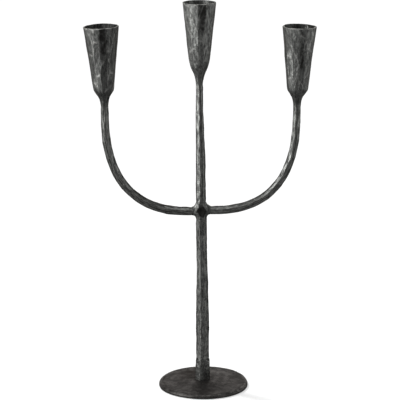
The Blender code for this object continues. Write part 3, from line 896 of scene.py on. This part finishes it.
def edge_quads(axis, crossed, solid, numbers):
    """A quad round each crossed edge along one axis, between the points of the four cells round it."""
    u, v = [k for k in range(3) if k != axis]
    inner = [slice(None)] * 3
    inner[u] = inner[v] = slice(1, -1)
    at = np.argwhere(crossed[tuple(inner)])
    at[:, (u, v)] += 1
    corners = []
    for a, b in ((1, 1), (0, 1), (0, 0), (1, 0)):
        cell_at = at.copy()
        cell_at[:, u] -= a
        cell_at[:, v] -= b
        corners.append(numbers[tuple(cell_at.T)])
    quads = np.stack(corners, axis=-1)
    turned = solid[tuple(at.T)] == (axis == 1)
    quads[turned] = quads[turned][:, ::-1]
    return quads


def round_min(a, b, blend):
    """The lesser of two distances, with a fillet where they meet."""
    near = np.maximum(blend - np.abs(a - b), 0) / blend
    return np.minimum(a, b) - near * near * blend / 4


def cross_outline(x, z, low, high):
    """Distance of (x, z) from the cross's outline seen from the front, half its depth there, and its dip."""
    middle_x = (low.x + high.x) / 2
    middle_z = (low.z + high.z) / 2
    (up_x,), (up_half,) = across("stem_upper", [high.z + 1 * MM])
    (down_x,), (down_half,) = across("stem_lower", [low.z - 1 * MM])
    climb = np.clip((z - low.z) / (high.z - low.z), 0, 1)
    stem_x = down_x + (up_x - down_x) * climb
    stem_half = down_half + (up_half - down_half) * climb
    to_right = smoothstep(-4 * MM, 4 * MM, x - middle_x)
    level = arm_level(-1) + (arm_level(1) - arm_level(-1)) * to_right
    arm_half = half_across("arm_left")
    fillet = (7.0 + 1.6 * np.sign(z - level)) * MM
    outline = round_min(np.abs(x - stem_x) - stem_half, np.abs(z - level) - arm_half, fillet)
    out = smoothstep(3 * MM, 10 * MM, np.abs(x - middle_x))
    depth = stem_half + (arm_half - stem_half) * out
    sunk = 1 - (np.abs(x - middle_x - 0.4 * MM) + np.abs(z - middle_z)) / (6.5 * MM)
    dip = 1.0 * MM * np.maximum(0, sunk) * (1 - out)
    return outline, depth, dip


def cross_boss():
    """The forged cross: stem and arm sections run into each other with fillets, and a dip in the middle,
    darkened with painted shade.
    """
    low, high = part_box("cross_boss")
    middle = np.array(((low.x + high.x) / 2, 0.0, (low.z + high.z) / 2))
    reach = np.array((high.x, high.y, high.z)) - middle + HAIRLINE
    room = reach + 1.5 * MM
    counts = np.ceil(2 * room / CROSS_CELL).astype(int) + 1
    origin = middle - room
    axes = [origin[k] + np.arange(counts[k]) * CROSS_CELL for k in range(3)]
    x, y, z = np.meshgrid(*axes, indexing="ij")
    points = np.stack([x, y, z], axis=-1)
    warp = 0.16 * MM * noise(points, 3.2 * MM, 51) + 0.10 * MM * noise(points, 1.6 * MM, 52)
    along_arm = reach[0] - np.abs(x - middle[0])
    along_stem = reach[2] - np.abs(z - middle[2])
    calm = np.minimum(smoothstep(0, 3 * MM, along_arm), smoothstep(0, 3 * MM, along_stem))
    outline, depth, dip = cross_outline(x, z, low, high)
    bevel = (outline + np.abs(y) - depth + depth * (2 - math.sqrt(2))) / math.sqrt(2)
    body = np.maximum.reduce([outline, np.abs(y) - depth + dip, bevel]) + warp * calm
    stud = SHANK_RADIUS + CLEARANCE - np.hypot(x - centre_x("cross_stud"), y)
    level = np.where(x < middle[0], arm_level(-1), arm_level(1))
    socket = np.minimum(SOCKET_RADIUS - np.hypot(z - level, y), SOCKET_DEPTH - along_arm)
    field = np.maximum.reduce([body, -along_arm, -along_stem, stud, socket])
    made, quads = surface_of(field, origin, CROSS_CELL)
    off_x, off_y, off_z = np.abs(made - middle - (0.4 * MM, 0, 0)).T
    ragged = 2.2 * MM * noise(made, 3.2 * MM, 53)
    # Painted shade in and round the dip at the middle of the cross, on its front and back.
    soot_and_shade = smoothstep(9.4 * MM, 4.2 * MM, off_x + 0.85 * off_z + ragged)
    return new_mesh("cross_boss_skin", made, quads.tolist(), -soot_and_shade * smoothstep(0, 2 * MM, off_y))


# ---- materials


class Shader:
    """A material under construction: short ways to add nodes and join them."""

    def __init__(self, name, bent=False):
        self.material = bpy.data.materials.new(name)
        self.material.use_nodes = True
        self.nodes = self.material.node_tree.nodes
        self.surface = self.nodes["Principled BSDF"]
        if bent:
            self.place = self.add("Attribute", attribute_name="grain").outputs["Vector"]
        else:
            self.place = self.add("TexCoord").outputs["Object"]

    def feed(self, node, inputs):
        """Sets each input of a node to a number or colour, or links an output to it."""
        for socket, source in inputs.items():
            if isinstance(source, (int, float, tuple)):
                node.inputs[socket].default_value = source
            else:
                self.material.node_tree.links.new(source, node.inputs[socket])

    def add(self, kind, inputs=None, **settings):
        """A new node with these settings and inputs."""
        node = self.nodes.new("ShaderNode" + kind)
        for setting, choice in settings.items():
            setattr(node, setting, choice)
        self.feed(node, inputs or {})
        return node

    def noise(self, per_metre, detail=3.0, rough=0.55, stretch=(1, 1, 1), twist=0.0):
        """Noise with this many lumps per metre. A stretch below 1 draws them out along that axis."""
        place = self.add("Mapping", {"Scale": stretch, "Vector": self.place}).outputs["Vector"]
        shape = {"Scale": per_metre, "Detail": detail, "Roughness": rough, "Distortion": twist}
        return self.add("TexNoise", {"Vector": place} | shape).outputs["Fac"]

    def remap(self, value, low, high, to_low=0.0, to_high=1.0):
        """A value taken smoothly from one range to another."""
        ends = {"From Min": low, "From Max": high, "To Min": to_low, "To Max": to_high}
        made = self.add("MapRange", {"Value": value} | ends, interpolation_type="SMOOTHSTEP")
        return made.outputs["Result"]

    def times(self, a, b):
        """The product of two numbers."""
        return self.add("Math", {0: a, 1: b}, operation="MULTIPLY").outputs[0]

    def mix(self, share, a, b):
        """Colour a where share is 0, b where it is 1."""
        return self.add("Mix", {"Factor": share, "A": a, "B": b}, data_type="RGBA").outputs["Result"]

    def bump(self, height, distance, strength, normal=None):
        """Normals roughened by a height, on top of other normals if given."""
        inputs = {"Distance": distance, "Strength": strength, "Height": height}
        if normal is not None:
            inputs["Normal"] = normal
        return self.add("Bump", inputs).outputs["Normal"]

    def made(self, inputs):
        """The finished material, its surface given these inputs."""
        self.feed(self.surface, inputs)
        return self.material


@dataclass
class Look:
    """How the iron of a piece looks."""

    shade: float = 1.0  # painted light: scales the scale's brightness up on lit pieces and down on shaded ones
    dark: tuple = DARK_IRON
    pale: tuple = PALE_IRON
    bare_and_lit: tuple = BARE_AND_LIT_IRON
    sheen: tuple = IRON_TINT
    wear_and_painted_light: float = 0.5  # how bright the positive marks get: ridges polished by use, and painted highlights
    rough: tuple = (0.32, 0.56)  # where the scale is pale and where it is dark
    lumps: float = 430  # of scale, per metre
    drawn: float = 0.28  # less than 1 where the lumps are drawn out along the bar
    specks: float = 0.4
    bumps: float = 1.0
    bent: bool = False  # textures follow the attribute "grain"


def shaded(colour, share):
    """A colour with its brightness scaled: the painted light of a piece, brighter where lit and darker where
    shaded.
    """
    red, green, blue, _ = colour
    return (red * share, green * share, blue * share, 1)


def iron(name, look):
    """Blackened, hammered iron: mottled scale, pale specks, bright metal and painted highlights where the
    attribute is positive, smoke-blackening and painted shade where it is negative.
    """
    shader = Shader(name, look.bent)
    # Painted light: the scale's colours brightened on lit pieces and darkened on shaded ones.
    dark, pale = shaded(look.dark, look.shade), shaded(look.pale, look.shade)
    rubbing_and_painted_light = shader.add("Attribute", attribute_name="wear_and_painted_light").outputs["Fac"]
    lumps = shader.noise(look.lumps, 5.0, 0.62, stretch=(1, 1, look.drawn), twist=0.4)
    mottle = shader.remap(lumps, 0.38, 0.64)
    stains = shader.remap(shader.noise(75, 3.0, 0.6, twist=0.8), 0.50, 0.68)
    grain = shader.noise(900, 4.0, 0.65)
    fine = shader.noise(2600, 2.0, 0.5)
    colour = shader.mix(mottle, dark, pale)
    colour = shader.mix(shader.times(stains, 0.45), colour, dark)
    speckle = shader.remap(grain, 0.56, 0.70)
    colour = shader.mix(shader.times(speckle, look.specks), colour, look.bare_and_lit)
    patchy = shader.remap(shader.noise(260, 3.0, 0.6), 0.34, 0.60)
    # Polished metal and painted highlights, where the attribute is positive.
    bare_and_lit = shader.times(shader.times(rubbing_and_painted_light, patchy), look.wear_and_painted_light)
    colour = shader.mix(bare_and_lit, colour, look.bare_and_lit)
    # Smoke-blackening and painted shade: colour darkened and sheen dulled, where the attribute is negative.
    soot_and_shade = shader.times(shader.remap(rubbing_and_painted_light, -1.0, 0.0, 1.0, 0.0), 0.85)
    colour = shader.mix(soot_and_shade, colour, SOOT_AND_SHADE)
    tint = shader.mix(soot_and_shade, look.sheen, SOOT_AND_SHADE_SHEEN)
    smooth, dull = look.rough
    rough = shader.remap(mottle, 0.0, 1.0, dull, smooth)
    pits = shader.remap(shader.noise(520, 3.0, 0.55, stretch=(1, 1, 0.6)), 0.30, 0.50)
    normal = shader.bump(pits, 0.22 * MM, 0.6 * look.bumps)
    normal = shader.bump(grain, 0.20 * MM, 0.6 * look.bumps, normal)
    normal = shader.bump(fine, 0.05 * MM, 0.5, normal)
    scale = {"Base Color": colour, "Metallic": 0.9, "Specular Tint": tint, "Roughness": rough}
    return shader.made(scale | {"Normal": normal})


def plated_steel():
    """Zinc-plated steel of the hidden fasteners."""
    shader = Shader("zinc_steel")
    spangle = shader.remap(shader.noise(500, 2.0, 0.5), 0.35, 0.65)
    colour = shader.mix(spangle, DARK_ZINC, PALE_ZINC)
    rough = shader.remap(shader.noise(1500), 0.3, 0.7, 0.25, 0.42)
    normal = shader.bump(shader.noise(2200, 2.0), 0.02 * MM, 0.4)
    return shader.made({"Base Color": colour, "Metallic": 1.0, "Roughness": rough, "Normal": normal})


def felt():
    """Black pressed felt: matted fibres, no shine."""
    shader = Shader("black_felt")
    matted = shader.noise(1400, 6.0, 0.75, stretch=(1, 1, 3), twist=1.5)
    colour = shader.mix(shader.remap(matted, 0.35, 0.7), DARK_FELT, PALE_FELT)
    normal = shader.bump(matted, 0.3 * MM, 0.8)
    return shader.made({"Base Color": colour, "Roughness": 0.95, "Sheen Weight": 0.3, "Normal": normal})


def paper():
    """White floor for the camera, dim to everything else, and seen from above only."""
    shader = Shader("pale_floor")
    seen = shader.add("LightPath").outputs["Is Camera Ray"]
    colour = shader.mix(seen, FLOOR_TO_OBJECT, FLOOR_TO_CAMERA)
    glow = {"Emission Color": (1, 1, 1, 1), "Emission Strength": shader.times(seen, FLOOR_GLOW)}
    below = shader.add("NewGeometry").outputs["Backfacing"]
    clear = shader.add("BsdfTransparent").outputs[0]
    choice = shader.add("MixShader", {0: below, 1: shader.surface.outputs[0], 2: clear})
    shader.feed(shader.nodes["Material Output"], {"Surface": choice.outputs[0]})
    return shader.made({"Base Color": colour, "Roughness": 0.9, "Specular IOR Level": 0.0} | glow)


# ---- build


class CupMake(NamedTuple):
    """What a cup stands on, how it was hammered and blackened, where shade is painted on it, and how bright
    its iron is painted for its light.
    """

    support: str
    seed: int
    facing: float  # of one of its facets, in degrees
    # a patch of painted shade where the cup turns away from the light
    soot_and_shade: ShadePatch
    # painted light: brightness of the cup's iron for how it is lit
    shade: float
    rough: tuple


# The fifth field of each cup and the first number of each Look are painted light: lit pieces made brighter,
# shaded ones darker.
CUPS = {
    "left": CupMake("arm_left", 11, 283, ShadePatch(277, 0.86, 17, 24 * MM), 0.79, (0.31, 0.53)),
    "centre": CupMake("stem_upper", 22, 278, ShadePatch(281, 0.88, 17, 25 * MM), 1.36, (0.38, 0.58)),
    "right": CupMake("arm_right", 31, 283, ShadePatch(282, 0.66, 12, 18 * MM), 0.99, (0.31, 0.53)),
}
LEFT_ARM = Look(0.97, wear_and_painted_light=0.8, bent=True)
RIGHT_ARM = Look(1.28, wear_and_painted_light=0.8, bent=True)
LOWER_STEM = Look(1.15, rough=(0.46, 0.74), lumps=560, specks=0.8)
UPPER_STEM = Look(1.22, wear_and_painted_light=0.6, rough=(0.27, 0.42), specks=0.25, bumps=0.6)
COLLAR = Look(0.93, rough=(0.40, 0.66), lumps=380, drawn=0.7, specks=0.6)
BASE = Look(
    dark=BASE_DARK, pale=BASE_PALE, bare_and_lit=BASE_BARE_AND_LIT, sheen=BASE_TINT,
    rough=(0.46, 0.58), lumps=120, drawn=1.0, specks=0.15, bumps=0.7,
)
FASTENERS = ("base_screw", "base_washer", "cross_stud", "cup_stud_left", "cup_stud_centre", "cup_stud_right")


def build():
    """Puts every skin in its node's place, and gives the hidden nodes their materials."""
    for name, make in CUPS.items():
        look = Look(make.shade, wear_and_painted_light=0.9, rough=make.rough)
        skinned = cup(name, make.support, make.seed, math.radians(make.facing), make.soot_and_shade)
        adopt(skinned, "cup_" + name, iron("cup_iron_" + name, look))
    adopt(arm("left", -1, 41, 0.22 * MM), "arm_left", iron("arm_iron_left", LEFT_ARM))
    adopt(arm("right", 1, 45, 0.05 * MM), "arm_right", iron("arm_iron_right", RIGHT_ARM))
    adopt(lower_stem(), "stem_lower", iron("pitted_iron", LOWER_STEM))
    adopt(upper_stem(), "stem_upper", iron("rubbed_iron", UPPER_STEM))
    adopt(cross_boss(), "cross_boss", iron("blackened_iron", Look()))
    adopt(foot_collar(), "foot_collar", iron("collar_iron", COLLAR))
    adopt(base_plate(), "base_plate", iron("base_iron", BASE))
    steel = plated_steel()
    for node, material in [(fastener, steel) for fastener in FASTENERS] + [("base_felt", felt())]:
        nodes[node].data.materials.clear()
        nodes[node].data.materials.append(material)


# ---- stage, light and camera


def stage():
    """A white floor that the camera sees to the top of the picture."""
    bpy.ops.mesh.primitive_plane_add(size=30.0, location=(0, 0, -0.05 * MM))
    floor = bpy.context.object
    floor.name = "floor"
    floor.data.materials.append(paper())
    floor_shadow(floor)


def pointing(direction):
    """Rotation of a light that shines this way."""
    return direction.to_track_quat("-Z", "Y").to_euler()


def floor_shadow(floor):
    """A soft sun from behind, at the left, that lights the floor alone, for the faint shadow on it."""
    light = bpy.data.lights.new("floor_sun", "SUN")
    light.energy = FLOOR_SUN
    light.angle = math.radians(9)
    obj = placed("floor_sun", light)
    obj.rotation_euler = pointing(Vector((0.85, -0.62, -1.4)))
    lit = bpy.data.collections.new("lit_by_floor_sun")
    lit.objects.link(floor)
    obj.light_linking.receiver_collection = lit


def area_light(name, location, target, width, height, power):
    """A soft rectangular light that the camera doesn't see."""
    light = bpy.data.lights.new(name, "AREA")
    light.shape = "RECTANGLE"
    light.size = width
    light.size_y = height
    light.energy = power
    obj = placed(name, light)
    obj.location = location
    obj.rotation_euler = pointing(Vector(target) - Vector(location))
    obj.visible_camera = False


def panel(name, azimuth, distance, middle_height, width, height, radiance):
    """An upright soft panel round the object. azimuth is 0 at the camera and grows to the right."""
    turn = math.radians(azimuth)
    place = (distance * math.sin(turn), -distance * math.cos(turn), middle_height)
    area_light(name, place, (0, 0, middle_height), width, height, radiance * math.pi * width * height)


def lights():
    """A bright panel at the left, a weak one at the right, one behind and one overhead."""
    world = bpy.data.worlds.new("studio")
    bpy.context.scene.world = world
    world.use_nodes = True
    background = world.node_tree.nodes["Background"]
    background.inputs["Color"].default_value = (1, 1, 1, 1)
    background.inputs["Strength"].default_value = AMBIENT
    panel("key", -62, 1.3, 0.65, 1.1, 1.3, 4.5)
    panel("fill", 82, 1.4, 0.6, 1.6, 1.2, 1.15)
    panel("backdrop", 180, 3.6, 1.3, 4.8, 2.2, 0.8)
    area_light("top", (0.0, 0.0, 2.4), (0, 0, 0), 1.5, 1.5, 2.0 * math.pi * 1.5 * 1.5)


def camera():
    """The photo's view."""
    data = bpy.data.cameras.new("camera")
    data.sensor_width = 36.0
    data.lens = CAMERA_LENS
    data.clip_start = 0.1
    data.clip_end = 100.0
    obj = placed("camera", data)
    obj.location = CAMERA_AT
    obj.rotation_euler = (math.radians(90) - CAMERA_DIP, 0, 0)
    bpy.context.scene.camera = obj


build()
stage()
lights()
camera()
bpy.context.scene.view_settings.view_transform = "Standard"
